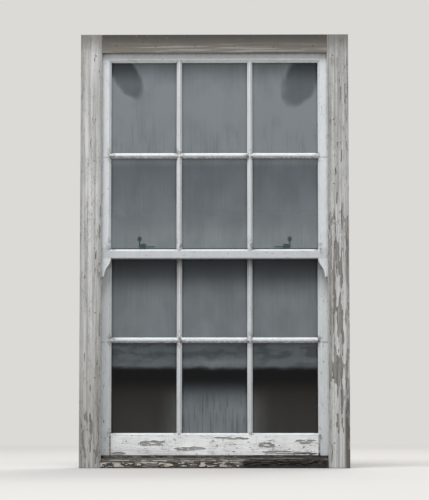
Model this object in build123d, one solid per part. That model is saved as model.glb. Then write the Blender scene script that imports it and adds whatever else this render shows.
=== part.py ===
from build123d import *

import os
from math import radians, tan

# A timber box sash window, six panes over six. Both sashes hang on cords that run over
# axle pulleys to cast-iron weights, which move in the hollow jambs.
# Millimetres. X is to the right seen from outside, Y into the building, Z up.
# The origin is on the underside of the sill, in the middle of the frame's width and depth.

# Opening and sashes
day_width = 944.0  # between the faces of the two pulley stiles
soffit_height = 1699.0  # underside of the head above the underside of the sill
meeting_height = 892.0  # top of the lower sash
meeting_step = 8.0  # the upper sash's meeting rail ends this much lower
sash_thickness = 42.0
sash_play = 1.5  # round a sash, in its depth and at its sides
head_play = 2.0
sill_play = 1.0
stile_width = 50.0
top_rail_height = 47.0
upper_meeting_height = 36.0
lower_meeting_height = 40.0
bottom_rail_top = 140.0  # sight line above the underside of the sill
bar_width = 22.0
upper_bar_height = 1267.0  # middle of the upper sash's cross bar
lower_bar_height = 517.5
horn_length = 76.0
horn_tip_width = 24.0

# Section of a sash member round the glass
rebate_width = 8.0
rebate_depth = 16.0
tongue = 5.0  # the square edge that the glass beds on
moulding_width = 7.0
moulding_depth = 15.0
glass_thickness = 3.0
glass_gap = 1.0
putty_front = 1.5  # putty starts this far behind the outside face
putty_land = 0.5
tenon_thickness = 12.0
tenon_length = 36.0
tenon_shoulder = 10.0

# Boards of the frame
lining_thickness = 20.0
lining_cover = 14.0  # outer linings stand this far in front of the sash's edge
lining_edge = 2.0  # worn corner
head_rise = 61.0  # from the soffit to the top of the frame
inner_lining_thickness = 18.0
stile_board = 22.0  # thickness of a pulley stile
weight_space = 42.0
back_lining_thickness = 8.0
head_board = 25.0
tongue_thickness = 8.0  # tongues that join stiles and head to the linings
tongue_depth = 6.0
tongue_inset = 6.0
housing_depth = 8.0
head_housing = 6.0
parting_bead_thickness = 10.0
parting_bead_proud = 9.0
parting_bead_groove = 9.0
staff_bead_depth = 22.0
staff_bead_proud = 14.0
staff_bead_round = 8.0
slip_thickness = 6.0
slip_width = 30.0
slip_bottom = 110.0
slip_above_head = 20.0
slip_play = 1.0
peg_radius = 4.0
peg_length = 36.0
block_leg = 30.0
block_length = 60.0
block_spacing = 300.0

# Sill
sill_nose = 28.0
sill_slope = 9.0  # degrees
sill_step = 8.0
sill_step_inset = 3.0  # the step lies this far in front of the inner track
sill_height = 66.0
sill_round = 5.0
throat_width = 8.0
throat_depth = 6.0
throat_inset = 10.0
decay_floor = 9.0
decay_start = 112.0
decay_end = 455.0
rail_decay_depth = 13.0

# Pocket in a pulley stile, through which a weight is reached
pocket_bottom = 170.0
pocket_length = 450.0
pocket_width = 37.0
pocket_bevel = 12.0
saw_kerf = 0.5

# Cords, pulleys and weights
cord_radius = 3.0
cord_inset = 4.5  # from the sash's edge to the middle of its cord
groove_width = 14.0
groove_depth = 9.0
knot_drop = 200.0  # from the top of a sash to its cord's knot
knot_radius = 6.0
knot_hole_radius = 8.0
knot_hole_depth = 14.0
pulley_drop = 79.0  # from the soffit to a wheel's axle
wheel_radius = 24.5  # to the middle of the cord
wheel_rim = 1.0  # rim beyond the middle of the cord
wheel_width = 10.0
rim_thickness = 1.6
cord_clearance = 0.3
web_inner = 8.0
web_outer = 17.0
web_recess = 2.5
pin_radius = 3.0
pin_clearance = 0.05
face_length = 114.0
face_width = 28.0
face_thickness = 3.0
face_slot = 48.0
cheek_gap = 13.0
cheek_thickness = 2.5
cheek_radius = 15.0
mortise_play = 0.5
wheel_room = 3.0
weight_radius = 19.0
upper_weight_length = 680.0
lower_weight_length = 670.0
weight_floor = 70.0  # underside of a weight at the lowest point of its travel
headroom = 107.0  # left above the lower sash when it is fully up
weight_taper = 26.0
weight_neck = 11.0
weight_chamfer = 4.0
eye_radius = 4.5
eye_depth = 30.0
eye_pocket = 26.0
eye_pocket_width = 16.0

# Fasteners on the meeting rails
fastener_x = 290.0
fastener_from_inside = 22.0
base_length = 56.0
base_width = 24.0
plate_thickness = 2.5
boss_radius = 10.0
boss_height = 4.0
lever_thickness = 4.0
lever_reach = 46.0
lever_width = 9.0
lever_tail = 22.0
lever_pin_radius = 2.5
hub_rise = 11.0  # of the lever's hub over its tongue
hub_top_radius = 6.5
hub_bore_gap = 0.3  # over the end of the pin
knob_height = 42.0
knob_radius = 9.0
stem_radius = 2.8
keeper_length = 40.0
keeper_width = 20.0
keeper_post = 6.0
keeper_gap = 1.0
keeper_side_gap = 3.0
keeper_roof = 3.0

# Lifts on the bottom rail
lift_x = 235.0
lift_height = 113.0
lift_width = 28.0
lift_plate_height = 36.0
lift_strap = 2.5
lift_projection = 21.0
lift_hook_rise = 24.0

# Levels and places worked out from the sizes above
frame_top = soffit_height + head_rise
travel = soffit_height - meeting_height - headroom  # of each sash, and of its weights
track = sash_thickness + 2 * sash_play
frame_depth = lining_thickness + track + parting_bead_thickness + track + staff_bead_depth
front = -frame_depth / 2
outer_track = front + lining_thickness
bead_front = outer_track + track
inner_track = bead_front + parting_bead_thickness
staff_front = inner_track + track
back = frame_depth / 2
inner_lining_front = back - inner_lining_thickness
half_day = day_width / 2
lining_edge_x = half_day - lining_cover
stile_back_x = half_day + stile_board
back_lining_x = stile_back_x + weight_space
half_frame = back_lining_x + back_lining_thickness
half_sash = half_day - sash_play
sight_x = half_sash - stile_width
sight_width = (2 * sight_x - 2 * bar_width) / 3
bar_x = sight_width / 2 + bar_width / 2
upper_y = outer_track + sash_play
lower_y = inner_track + sash_play
upper_top = soffit_height - head_play
upper_rail_top = meeting_height - meeting_step
upper_bottom = upper_rail_top - upper_meeting_height
lower_rail_bottom = meeting_height - lower_meeting_height
axle_height = soffit_height - pulley_drop
cord_x = half_sash - cord_inset
axle_x = cord_x + wheel_radius
weight_x = axle_x + wheel_radius
lip_x = half_day - parting_bead_proud - sash_play
slope = tan(radians(sill_slope))


def sill_line(y, steps=0):
    """Height of the sill's sloping top at depth y, in front of its step or behind it."""
    return sill_nose + (y - front) * slope + steps * sill_step


lower_bottom = sill_line(lower_y, steps=1) + sill_play


def block(x0, x1, y0, y1, z0, z1):
    """A box from its corners."""
    return Pos((x0 + x1) / 2, (y0 + y1) / 2, (z0 + z1) / 2) * Box(x1 - x0, y1 - y0, z1 - z0)


def along_x(points, x0, x1):
    """A section with corners (y, z), drawn out from x0 to x1."""
    face = Plane.YZ.offset(x0) * Polygon(*points, align=None)
    return extrude(face, amount=x1 - x0, dir=(1, 0, 0))


def along_y(face, y0, y1):
    """An outline in (x, z), drawn out from y0 to y1."""
    return extrude(Plane.XZ.offset(-y0) * face, amount=y1 - y0, dir=(0, 1, 0))


def along_z(face, z0, z1):
    """An outline in (x, y), drawn out from z0 to z1."""
    return extrude(Plane.XY.offset(z0) * face, amount=z1 - z0, dir=(0, 0, 1))


def on_right(shape):
    """The same piece on the other side of the window."""
    return mirror(shape, about=Plane.YZ)


def add_pair(name, left):
    """A left-hand piece and its mirror image, as two nodes."""
    nodes[f"{name}_left"] = left
    nodes[f"{name}_right"] = on_right(left)


nodes = {}


# Sill and box frame

def sill_section(raised=0.0):
    """Corners of the sill's section, with its top raised or lowered."""
    step = inner_track - sill_step_inset
    return [
        (front, 0),
        (front, sill_nose + raised),
        (step, sill_line(step) + raised),
        (step, sill_line(step, steps=1) + raised),
        (staff_front, sill_line(staff_front, steps=1) + raised),
        (staff_front, sill_height + raised),
        (back, sill_height + raised),
        (back, 0),
    ]


def decay_hollow():
    """The rotten stretch of the nosing at the right, seen from above."""
    reach = decay_end - decay_start
    depths = [(0.05, 15), (0.18, 30), (0.33, 25), (0.52, 41), (0.70, 33), (0.87, 45), (0.97, 22)]
    edge = [(decay_start, front)]
    edge += [(decay_start + share * reach, front + depth) for share, depth in depths]
    edge += [(decay_end, front)]
    outline = make_face([Spline(*edge), Line(edge[-1], edge[0])])
    return along_z(outline, decay_floor, sill_height)


def make_sill():
    """Sunk and weathered sill, notched at its ends for the outer linings."""
    sill = along_x(sill_section(), -half_frame, half_frame)
    nose = sill.edges().filter_by(Axis.X).sort_by(Axis.Y)[:2].sort_by(Axis.Z)[-1]
    sill = fillet(nose, sill_round)
    throat = front + throat_inset
    sill -= block(-half_frame, half_frame, throat, throat + throat_width, 0, throat_depth)
    for side in (-1, 1):
        ends = sorted((side * lining_edge_x, side * half_frame))
        sill -= block(*ends, front, outer_track, 0, sill_height)
        housing = sorted((side * half_day, side * stile_back_x))
        trench = block(*housing, outer_track, inner_lining_front, 0, sill_height)
        sill -= trench - along_x(sill_section(-housing_depth), -half_frame, half_frame)
    return sill - decay_hollow()


nodes["sill"] = make_sill()
sill_blank = along_x(sill_section(), -half_frame, half_frame)
sunk_sill = along_x(sill_section(-housing_depth), -half_frame, half_frame)


def pulley_places():
    """Depths of the two tracks' middles: upper sash first."""
    return (upper_y + sash_thickness / 2, lower_y + sash_thickness / 2)


def face_outline(slot=True):
    """Outline of a pulley's face, in (depth, height) about its middle."""
    outline = Rot(0, 0, 90) * SlotOverall(face_length, face_width)
    if slot:
        outline -= Rectangle(cheek_gap, face_slot)
    return outline


def on_stile_face(face, y, depth):
    """An outline in (depth, height) about a pulley, drawn into the left pulley stile's face."""
    plane = Plane(origin=(-half_day, y, axle_height), x_dir=(0, 1, 0), z_dir=(1, 0, 0))
    return extrude(plane * face, amount=depth, dir=(-1, 0, 0))


def make_pulley_stile():
    """The left pulley stile, with its tongues, groove, two mortises and pocket."""
    x0, x1 = -stile_back_x, -half_day
    top = soffit_height + head_housing
    stile = block(x0, x1, outer_track, inner_lining_front, 0, top)
    tongue_x = x1 - tongue_inset - tongue_thickness
    stile += block(
        tongue_x,
        tongue_x + tongue_thickness,
        outer_track - tongue_depth,
        inner_lining_front + tongue_depth,
        sill_height,
        soffit_height,
    )
    stile -= sunk_sill
    stile -= block(x1 - parting_bead_groove, x1, bead_front, inner_track, 0, soffit_height)
    room = 2 * (wheel_radius + wheel_rim + wheel_room)
    cheeks = cheek_gap + 2 * cheek_thickness + 2 * mortise_play
    for y in pulley_places():
        stile -= on_stile_face(face_outline(slot=False), y, face_thickness)
        stile -= on_stile_face(Rectangle(cheeks, room), y, stile_board)
    return stile - pocket_piece(0)


def pocket_piece(kerf):
    """The loose piece in the left pulley stile, its ends sawn on a slant."""
    x0, x1 = -stile_back_x, -half_day
    z0, z1 = pocket_bottom + kerf, pocket_bottom + pocket_length - kerf
    outline = Polygon(
        (x1, z0), (x1, z1), (x0, z1 - pocket_bevel), (x0, z0 + pocket_bevel), align=None
    )
    return along_y(outline, inner_track + kerf, inner_track + pocket_width - kerf)


add_pair("pulley_stile", make_pulley_stile())
nodes["pocket_pieces"] = pocket_piece(saw_kerf) + on_right(pocket_piece(saw_kerf))


def lining_groove(y0, y1):
    """The groove in a left lining that takes the pulley stile's tongue."""
    x1 = -half_day - tongue_inset
    return block(x1 - tongue_thickness, x1, y0, y1, 0, frame_top)


def make_head_board():
    """The head, housed over the pulley stiles and tongued into both head linings."""
    x, top = back_lining_x, soffit_height + head_board
    head = block(-x, x, outer_track, inner_lining_front, soffit_height, top)
    z = soffit_height + tongue_inset
    low, high = z, z + tongue_thickness
    head += block(-lining_edge_x, lining_edge_x, outer_track - tongue_depth, outer_track, low, high)
    inner = inner_lining_front
    head += block(-half_day, half_day, inner, inner + tongue_depth, low, high)
    groove_top = soffit_height + parting_bead_groove
    half_bead = half_day - parting_bead_proud
    head -= block(-half_bead, half_bead, bead_front, inner_track, soffit_height, groove_top)
    for side in (-1, 1):
        stile = sorted((side * half_day, side * stile_back_x))
        housing_top = soffit_height + head_housing
        head -= block(*stile, outer_track, inner_lining_front, soffit_height, housing_top)
        middle = side * (stile_back_x + weight_space / 2)
        half_slot = slip_width / 2 + slip_play
        half_thick = slip_thickness / 2 + slip_play
        y = (bead_front + inner_track) / 2
        slot = (middle - half_slot, middle + half_slot, y - half_thick, y + half_thick)
        head -= block(*slot, soffit_height, top)
    return head


nodes["head"] = make_head_board()


def make_outer_lining():
    """The left outer lining, over the end of the sill, its inner corner worn."""
    x0, x1 = -half_frame, -lining_edge_x
    outline = Polygon(
        (x0, front),
        (x1 - lining_edge, front),
        (x1, front + lining_edge),
        (x1, outer_track),
        (x0, outer_track),
        align=None,
    )
    return along_z(outline, 0, frame_top) - lining_groove(outer_track - tongue_depth, outer_track)


def make_outer_head_lining():
    """The outer head lining, between the two side ones."""
    low = soffit_height - lining_cover
    outline = [
        (front + lining_edge, low),
        (outer_track, low),
        (outer_track, frame_top),
        (front, frame_top),
        (front, low + lining_edge),
    ]
    lining = along_x(outline, -lining_edge_x, lining_edge_x)
    return lining - nodes["head"]


def make_inner_lining():
    """The left inner lining, standing on the back of the sill."""
    x0, x1 = -half_frame, -half_day
    lining = block(x0, x1, inner_lining_front, back, sill_height, frame_top)
    return lining - lining_groove(inner_lining_front, inner_lining_front + tongue_depth)


add_pair("outer_lining", make_outer_lining())
nodes["outer_lining_head"] = make_outer_head_lining()
add_pair("inner_lining", make_inner_lining())
inner_head = block(-half_day, half_day, inner_lining_front, back, soffit_height, frame_top)
nodes["inner_lining_head"] = inner_head - nodes["head"]

back_lining = block(-half_frame, -back_lining_x, outer_track, inner_lining_front, 0, frame_top)
back_lining -= sill_blank
nodes["back_linings"] = back_lining + on_right(back_lining)


def make_parting_slip():
    """The thin board that hangs between the left weights, with its peg on the head."""
    middle = -(stile_back_x + weight_space / 2)
    y = (bead_front + inner_track) / 2
    head_top = soffit_height + head_board
    x0, x1 = middle - slip_width / 2, middle + slip_width / 2
    y0, y1 = y - slip_thickness / 2, y + slip_thickness / 2
    slip = block(x0, x1, y0, y1, slip_bottom, head_top + slip_above_head)
    peg = Pos(middle, y, head_top + peg_radius) * Rot(90, 0, 0) * Cylinder(peg_radius, peg_length)
    return Compound(children=[slip - peg, peg])


slip_pair = make_parting_slip()
nodes["parting_slips"] = Compound(children=[slip_pair, on_right(slip_pair)])


def make_parting_bead():
    """The left parting bead, in its groove from the sill to the soffit."""
    x0 = -half_day - parting_bead_groove
    x1 = -half_day + parting_bead_proud
    bead = block(x0, x1, bead_front, inner_track, 0, soffit_height)
    return bead - sill_blank


add_pair("parting_bead", make_parting_bead())
bead_end = half_day - parting_bead_proud
bead_low = soffit_height - parting_bead_proud
bead_high = soffit_height + parting_bead_groove
nodes["parting_bead_head"] = block(
    -bead_end, bead_end, bead_front, inner_track, bead_low, bead_high
)


def staff_bead(length):
    """A staff bead along +X from the origin: seated on z = 0, its room corner rounded at the top."""
    proud, deep, r = staff_bead_proud, staff_bead_depth, staff_bead_round
    section = make_face(
        [
            Line((0, 0), (deep, 0)),
            Line((deep, 0), (deep, proud - r)),
            RadiusArc((deep, proud - r), (deep - r, proud), -r),
            Line((deep - r, proud), (0, proud)),
            Line((0, proud), (0, 0)),
        ]
    )
    bead = extrude(Plane.YZ * section, amount=length, dir=(1, 0, 0))
    mitre = Polygon((0, 0), (length, 0), (length - proud, proud), (proud, proud), align=None)
    return bead & along_y(mitre, 0, deep)


bead_rise = soffit_height - sill_height
low_bead = staff_bead(day_width)
side_bead = staff_bead(bead_rise)
nodes["staff_bead_sill"] = Pos(-half_day, staff_front, sill_height) * low_bead
nodes["staff_bead_head"] = Pos(half_day, staff_front, soffit_height) * Rot(0, 180, 0) * low_bead
right_bead = Pos(half_day, staff_front, sill_height) * Rot(0, -90, 0) * side_bead
nodes["staff_bead_right"] = right_bead
nodes["staff_bead_left"] = on_right(right_bead)


def make_glue_blocks():
    """Triangular blocks in the corners between the head and its linings."""
    z = soffit_height + head_board
    corners = (
        [(outer_track, z), (outer_track + block_leg, z), (outer_track, z + block_leg)],
        [
            (inner_lining_front, z),
            (inner_lining_front, z + block_leg),
            (inner_lining_front - block_leg, z),
        ],
    )
    half = block_length / 2
    blocks = []
    for x in (-block_spacing, 0, block_spacing):
        blocks += [along_x(corner, x - half, x + half) for corner in corners]
    return Compound(children=blocks)


nodes["glue_blocks"] = make_glue_blocks()


# Pulleys, weights and cords

def make_case(y):
    """The left case at depth y: a round-ended face let into the stile, and two cheeks."""
    case = on_stile_face(face_outline(), y, face_thickness)
    cheek = Circle(cheek_radius)
    to_face = axle_x - half_day - face_thickness
    cheek += Pos(to_face / 2, 0) * Rectangle(to_face, 2 * cheek_radius)
    cheek -= Circle(pin_radius)
    for side in (-1, 1):
        y0 = y + side * (cheek_gap + cheek_thickness) / 2 - cheek_thickness / 2
        case += along_y(Pos(-axle_x, axle_height) * cheek, y0, y0 + cheek_thickness)
    return case


def make_pin(y):
    """The left axle pin at depth y, riveted in its cheeks."""
    length = cheek_gap + 2 * cheek_thickness
    return Pos(-axle_x, y, axle_height) * Rot(90, 0, 0) * Cylinder(pin_radius, length)


def make_wheel(y):
    """The left wheel at depth y, grooved for the cord and recessed at both sides."""
    rim = wheel_radius + wheel_rim
    half = wheel_width / 2
    lip = half - rim_thickness
    bore = pin_radius + pin_clearance
    floor = wheel_radius - cord_radius - cord_clearance
    section = make_face(
        [
            Line((bore, -half), (rim, -half)),
            Line((rim, -half), (rim, -lip)),
            ThreePointArc((rim, -lip), (floor, 0), (rim, lip)),
            Line((rim, lip), (rim, half)),
            Line((rim, half), (bore, half)),
            Line((bore, half), (bore, -half)),
        ]
    )
    middle = (web_inner + web_outer) / 2
    for side in (-1, 1):
        web = Pos(middle, side * half) * Rectangle(web_outer - web_inner, 2 * web_recess)
        section -= web
    wheel = revolve(section, axis=Axis.Y)
    return Pos(-axle_x, y, axle_height) * wheel


def make_weight(y, bottom, length):
    """A left weight: a tapered bar with an eye and a side pocket for the knot."""
    r = weight_radius
    outline = Polygon(
        (0, 0),
        (r - weight_chamfer, 0),
        (r, weight_chamfer),
        (r, length - weight_taper),
        (weight_neck, length),
        (0, length),
        align=None,
    )
    weight = revolve(Plane.XZ * outline, axis=Axis.Z)
    weight -= Pos(0, 0, length - eye_depth / 2) * Cylinder(eye_radius, eye_depth)
    pocket_top = length - eye_depth
    half = eye_pocket_width / 2
    weight -= block(-half, r, -half, half, pocket_top - eye_pocket, pocket_top)
    return Pos(-weight_x, y, bottom) * weight


def knot():
    """A stopper knot round the origin, along Z."""
    r, c = knot_radius, cord_radius
    outline = Polygon((0, -r), (c, -r), (r, -c), (r, c), (c, r), (0, r), align=None)
    return revolve(Plane.XZ * outline, axis=Axis.Z)


def make_cord(y, sash_top, weight_bottom, weight_length):
    """A left cord: from the knot in the sash's edge, over the wheel, to the knot in the weight."""
    low = sash_top - knot_drop
    end = weight_bottom + weight_length - eye_depth - eye_pocket / 2
    ring = Pos(wheel_radius, 0) * Circle(cord_radius)
    over = Pos(-axle_x, y, axle_height) * Rot(0, 180, 0) * revolve(ring, axis=Axis.Y, revolution_arc=180)
    cord = over
    for x, z in ((-cord_x, low), (-weight_x, end)):
        rise = axle_height - z
        cord += Pos(x, y, z + rise / 2) * Cylinder(cord_radius, rise)
        cord += Pos(x, y, z) * knot()
    return cord


hangings = (
    ("upper", upper_top, weight_floor, upper_weight_length),
    ("lower", meeting_height, weight_floor + travel, lower_weight_length),
)
pins = []
for (sash, sash_top, weight_bottom, weight_length), y in zip(hangings, pulley_places()):
    nodes[f"{sash}_pulley_cases"] = make_case(y) + on_right(make_case(y))
    add_pair(f"{sash}_pulley_wheel", make_wheel(y))
    add_pair(f"{sash}_weight", make_weight(y, weight_bottom, weight_length))
    add_pair(f"{sash}_cord", make_cord(y, sash_top, weight_bottom, weight_length))
    pins += [make_pin(y), on_right(make_pin(y))]
nodes["pulley_pins"] = Compound(children=pins)


# Sashes

def edge_cut(moulded=True):
    """What is planed off a member's glass edge, which lies at x = 0 with the wood at -x."""
    cut = Pos(-rebate_width / 2, rebate_depth / 2) * Rectangle(rebate_width, rebate_depth)
    if not moulded:
        return cut
    start = rebate_depth + tongue
    end = start + moulding_depth
    w, t = moulding_width, sash_thickness
    middle = (-0.29 * w, start + 0.71 * moulding_depth)
    ovolo = make_face(
        [
            ThreePointArc((0, start), middle, (-w, end)),
            Line((-w, end), (-w, t)),
            Line((-w, t), (0, t)),
            Line((0, t), (0, start)),
        ]
    )
    return cut + ovolo


def member_section(width, glass_edges=1, moulded=True):
    """Section of a sash member: x across it, y from its outside face to its inside one."""
    section = Pos(width / 2, sash_thickness / 2) * Rectangle(width, sash_thickness)
    section -= Pos(width, 0) * edge_cut(moulded)
    if glass_edges == 2:
        section -= mirror(edge_cut(moulded), about=Plane.YZ)
    return section


def upright(width, x, y, z0, z1, glass_edges=1):
    """A stile or bar that stands at x, its glass edge to the right."""
    return Pos(x, y, 0) * along_z(member_section(width, glass_edges), z0, z1)


def rail_up(width, y, z, half, glass_edges=1, moulded=True):
    """A rail whose glass edge is its top one, z being its underside."""
    plane = Plane(origin=(half, y, z), x_dir=(0, 0, 1), z_dir=(-1, 0, 0))
    section = member_section(width, glass_edges, moulded)
    return extrude(plane * section, amount=2 * half, dir=(-1, 0, 0))


def rail_down(width, y, z, half):
    """A rail whose glass edge is its underside, z being its top."""
    plane = Plane(origin=(-half, y, z), x_dir=(0, 0, -1), z_dir=(1, 0, 0))
    return extrude(plane * member_section(width), amount=2 * half, dir=(1, 0, 0))


def horn():
    """The left horn below the upper sash's meeting rail, curved in two sweeps."""
    x0, z0 = -half_sash, upper_bottom
    shoulder = (x0 + stile_width, z0 - 3)
    waist = (x0 + stile_width * 0.72, z0 - horn_length * 0.46)
    tip = (x0 + horn_tip_width, z0 - horn_length)
    swell = (x0 + stile_width * 0.915, z0 - horn_length * 0.27)
    hollow = (x0 + stile_width * 0.55, z0 - horn_length * 0.68)
    outline = make_face(
        [
            Line((x0, z0), (x0 + stile_width, z0)),
            Line((x0 + stile_width, z0), shoulder),
            ThreePointArc(shoulder, swell, waist),
            ThreePointArc(waist, hollow, tip),
            Line(tip, (x0, z0 - horn_length)),
            Line((x0, z0 - horn_length), (x0, z0)),
        ]
    )
    return along_y(outline, upper_y, upper_y + sash_thickness)


def cord_groove(y, z0, z1, knot_height):
    """The groove and knot hole in the left edge of a sash."""
    middle = y + sash_thickness / 2
    x0, x1 = -half_sash, -half_sash + groove_depth
    half = groove_width / 2
    groove = block(x0, x1, middle - half, middle + half, z0, z1)
    hole = Rot(0, 90, 0) * Cylinder(knot_hole_radius, knot_hole_depth)
    return groove + Pos(x0 + knot_hole_depth / 2, middle, knot_height) * hole


def tenons(y, z0, z1):
    """The two tenons of a rail, one into each stile."""
    y0 = y + rebate_depth
    x0 = -sight_x - tenon_length
    left = block(x0, -sight_x + rebate_width, y0, y0 + tenon_thickness, z0, z1)
    return left, on_right(left)


def bevel_y(z):
    """Where the slanted joint between the meeting rails lies, at height z."""
    play = sash_play / 2
    low, high = upper_bottom, meeting_height
    y_low, y_high = lower_y - play, upper_y + sash_thickness + play
    return y_low + (z - low) / (high - low) * (y_high - y_low)


def upper_lip():
    """The stretch of the upper meeting rail in front of the parting beads' line."""
    inside, gap = upper_y + sash_thickness, sash_play / 2
    low, high = upper_bottom, upper_rail_top
    corners = [(inside, low), (bevel_y(low) - gap, low), (bevel_y(high) - gap, high), (inside, high)]
    return along_x(corners, -lip_x, lip_x)


def lower_lip():
    """The same on the lower sash, above its glass rebate."""
    outside, gap = lower_y, sash_play / 2
    low, high = lower_rail_bottom + rebate_width, meeting_height
    corners = [(outside, low), (bevel_y(low) + gap, low), (bevel_y(high) + gap, high), (outside, high)]
    return along_x(corners, -lip_x, lip_x)


def pane_cells(low, bar, high):
    """Middle and size of the six sight openings of a sash: (x, z, width, height)."""
    half = bar_width / 2
    cells = []
    for x in (-2 * bar_x, 0, 2 * bar_x):
        for z0, z1 in ((low, bar - half), (bar + half, high)):
            cells.append((x, (z0 + z1) / 2, sight_width, z1 - z0))
    return cells


def make_pane(y, x, z, width, height):
    """One pane, bedded on the tongues."""
    grow = 2 * (rebate_width - glass_gap)
    outline = Pos(x, z) * Rectangle(width + grow, height + grow)
    bed = y + rebate_depth
    return along_y(outline, bed - glass_thickness, bed)


def make_putty(y, x, z, width, height):
    """The bevelled putty round one pane, from the glass to the bars' outside edges."""
    near, far = y + putty_front, y + rebate_depth - glass_thickness
    outer = Rectangle(width + 2 * rebate_width, height + 2 * rebate_width)
    wide = 2 * (rebate_width - putty_land)
    mouth = Plane.XZ.offset(-near) * (Pos(x, z) * Rectangle(width + wide, height + wide))
    sight = Plane.XZ.offset(-far) * (Pos(x, z) * Rectangle(width, height))
    return along_y(Pos(x, z) * outer, near, far) - loft([mouth.face(), sight.face()])


def add_sash(name, y, bottom, top, low_rail, high_rail, low_tenon, high_tenon, trims):
    """Fits rails, bars, glass and putty between two stiles and adds them all as nodes.

    low_rail and high_rail are (node name, solid, sight line); trims holds what is added to
    the left stile, what is cut from it, and what is cut from every member.
    """
    added, cut, foot = trims
    low_name, low_solid, low_sight = low_rail
    high_name, high_solid, high_sight = high_rail
    stile = upright(stile_width, -half_sash, y, bottom, top)
    both = stile + on_right(stile)
    bar_height = upper_bar_height if name == "upper" else lower_bar_height
    bars = Part()
    for x in (-bar_x, bar_x):
        z0, z1 = low_sight - rebate_width, high_sight + rebate_width
        bars += upright(bar_width, x - bar_width / 2, y, z0, z1, glass_edges=2)
    cross = rail_up(
        bar_width, y, bar_height - bar_width / 2, sight_x + rebate_width, glass_edges=2
    )
    rails = {}
    for rail_name, solid, tenon in ((low_name, low_solid, low_tenon), (high_name, high_solid, high_tenon)):
        left, right = tenons(y, *tenon)
        rails[rail_name] = solid - both + left + right
        stile -= left
    stile = stile + added - cut if added else stile - cut
    if foot:
        stile -= foot
        rails[low_name] -= foot
    bars -= low_solid + high_solid
    add_pair(f"{name}_stile", stile)
    for rail_name, rail in rails.items():
        nodes[f"{name}_{rail_name}"] = rail
    nodes[f"{name}_upright_bars"] = bars
    nodes[f"{name}_cross_bar"] = cross - both - bars
    cells = pane_cells(low_sight, bar_height, high_sight)
    nodes[f"{name}_glass"] = Compound(children=[make_pane(y, *cell) for cell in cells])
    nodes[f"{name}_putty"] = Compound(children=[make_putty(y, *cell) for cell in cells])


rail_half = sight_x + rebate_width
upper_sight_top = upper_top - top_rail_height
upper_low = rail_up(upper_meeting_height, upper_y, upper_bottom, rail_half, moulded=False) + upper_lip()
upper_high = rail_down(top_rail_height, upper_y, upper_top, rail_half)
horn_bottom = upper_bottom - horn_length
add_sash(
    "upper",
    upper_y,
    upper_bottom,
    upper_top,
    ("meeting_rail", upper_low, upper_rail_top),
    ("top_rail", upper_high, upper_sight_top),
    (upper_bottom + tenon_shoulder / 2, upper_rail_top - rebate_width),
    (upper_sight_top + rebate_width, upper_top - tenon_shoulder),
    (horn(), cord_groove(upper_y, horn_bottom, upper_top, upper_top - knot_drop), None),
)


def rail_decay():
    """The soft lower edge of the bottom rail, eaten away at the right."""
    x0, x1 = bar_x, sight_x
    reach = x1 - x0
    rises = [(0.15, 4), (0.35, 7), (0.55, 6), (0.8, 11)]
    low = lower_bottom - sill_play
    edge = [(x0, low)] + [(x0 + share * reach, low + rise) for share, rise in rises]
    edge += [(x1 + rebate_width, low + 9)]
    corner = (x1 + rebate_width, low)
    outline = make_face([Spline(*edge), Line(edge[-1], corner), Line(corner, edge[0])])
    return along_y(outline, lower_y, lower_y + rail_decay_depth)


bottom_height = bottom_rail_top - lower_bottom
lower_low = rail_up(bottom_height, lower_y, lower_bottom, rail_half)
lower_high = rail_down(lower_meeting_height, lower_y, meeting_height, rail_half) + lower_lip()
groove_end = meeting_height - knot_drop
add_sash(
    "lower",
    lower_y,
    lower_bottom,
    meeting_height,
    ("bottom_rail", lower_low, bottom_rail_top),
    ("meeting_rail", lower_high, lower_rail_bottom),
    (lower_bottom + 2 * tenon_shoulder, bottom_rail_top - rebate_width - tenon_shoulder),
    (lower_rail_bottom + rebate_width, meeting_height - tenon_shoulder / 2),
    (
        None,
        cord_groove(lower_y, groove_end, meeting_height, groove_end),
        along_x(sill_section(sill_play), -half_frame, half_frame),
    ),
)
nodes["lower_bottom_rail"] -= rail_decay()


# Fasteners and lifts

pivot_y = lower_y + sash_thickness - fastener_from_inside
boss_top = meeting_height + plate_thickness + boss_height
lever_top = boss_top + lever_thickness


def make_base():
    """The left fastener's base on the lower meeting rail: plate, boss and riveted pin."""
    x = -fastener_x
    plate = Pos(x, pivot_y) * SlotOverall(base_length, base_width)
    base = along_z(plate, meeting_height, meeting_height + plate_thickness)
    base += along_z(Pos(x, pivot_y) * Circle(boss_radius), meeting_height, boss_top)
    return base + along_z(Pos(x, pivot_y) * Circle(lever_pin_radius), meeting_height, lever_top)


def make_lever():
    """The left lever, open: a tongue to the right, a short tail and a domed hub over its pin."""
    arm = lever_reach + lever_tail
    outline = Circle(boss_radius) + Pos((lever_reach - lever_tail) / 2, 0) * SlotOverall(arm, lever_width)
    flat = along_z(outline, boss_top, lever_top)
    r, top = boss_radius, lever_top + hub_rise
    brow = lever_top + hub_rise * 0.4
    shoulder = ((r + hub_top_radius) / 2 + 0.7, top - hub_rise * 0.2)
    profile = make_face(
        [
            Line((0, boss_top), (r, boss_top)),
            Line((r, boss_top), (r, brow)),
            ThreePointArc((r, brow), shoulder, (hub_top_radius, top)),
            Line((hub_top_radius, top), (0, top)),
            Line((0, top), (0, boss_top)),
        ]
    )
    hub = revolve(Plane.XZ * profile, axis=Axis.Z)
    bore = along_z(Circle(lever_pin_radius + pin_clearance), boss_top, lever_top + hub_bore_gap)
    return Pos(-fastener_x, pivot_y, 0) * (flat + hub - bore)


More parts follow.
